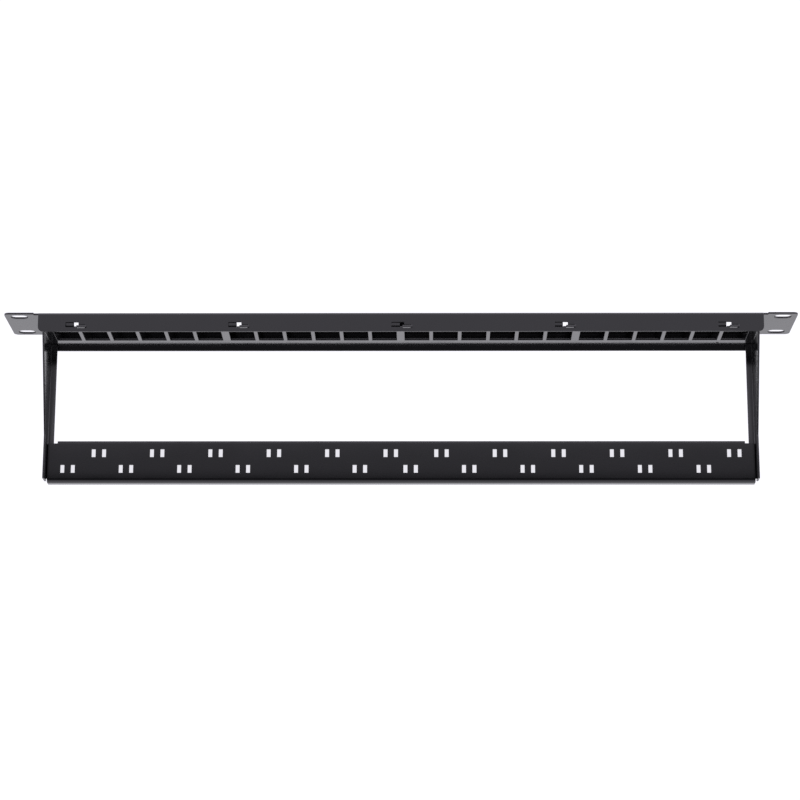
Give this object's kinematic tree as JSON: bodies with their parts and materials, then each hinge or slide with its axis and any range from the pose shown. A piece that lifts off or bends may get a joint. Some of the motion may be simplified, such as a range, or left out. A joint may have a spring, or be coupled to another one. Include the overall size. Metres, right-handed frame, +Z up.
{
  "type": "keystone patch panel",
  "caption": "Black sheet steel keystone patch panel for a rack, one unit high, with empty jack openings, slotted ears and a cable tray with tie slots on two tapered arms behind",
  "frame": {"origin": "middle of the rack hole pattern, on the rear face of the ears, which meets the rack rails", "axes": "X to the right seen from the front, Y rearward into the rack, Z up"},
  "size_m": [0.4826, 0.0973, 0.0447],
  "materials": {
    "panel_coat": "black powder coat, satin, fine grain",
    "carrier_coat": "black powder coat, satin, fine grain",
    "tray_coat": "black powder coat, satin, fine grain"
  },
  "bodies": {
    "root": {"front_panel": "panel_coat", "port_carrier": "carrier_coat", "cable_tray": "tray_coat"}
  },
  "joints": []
}
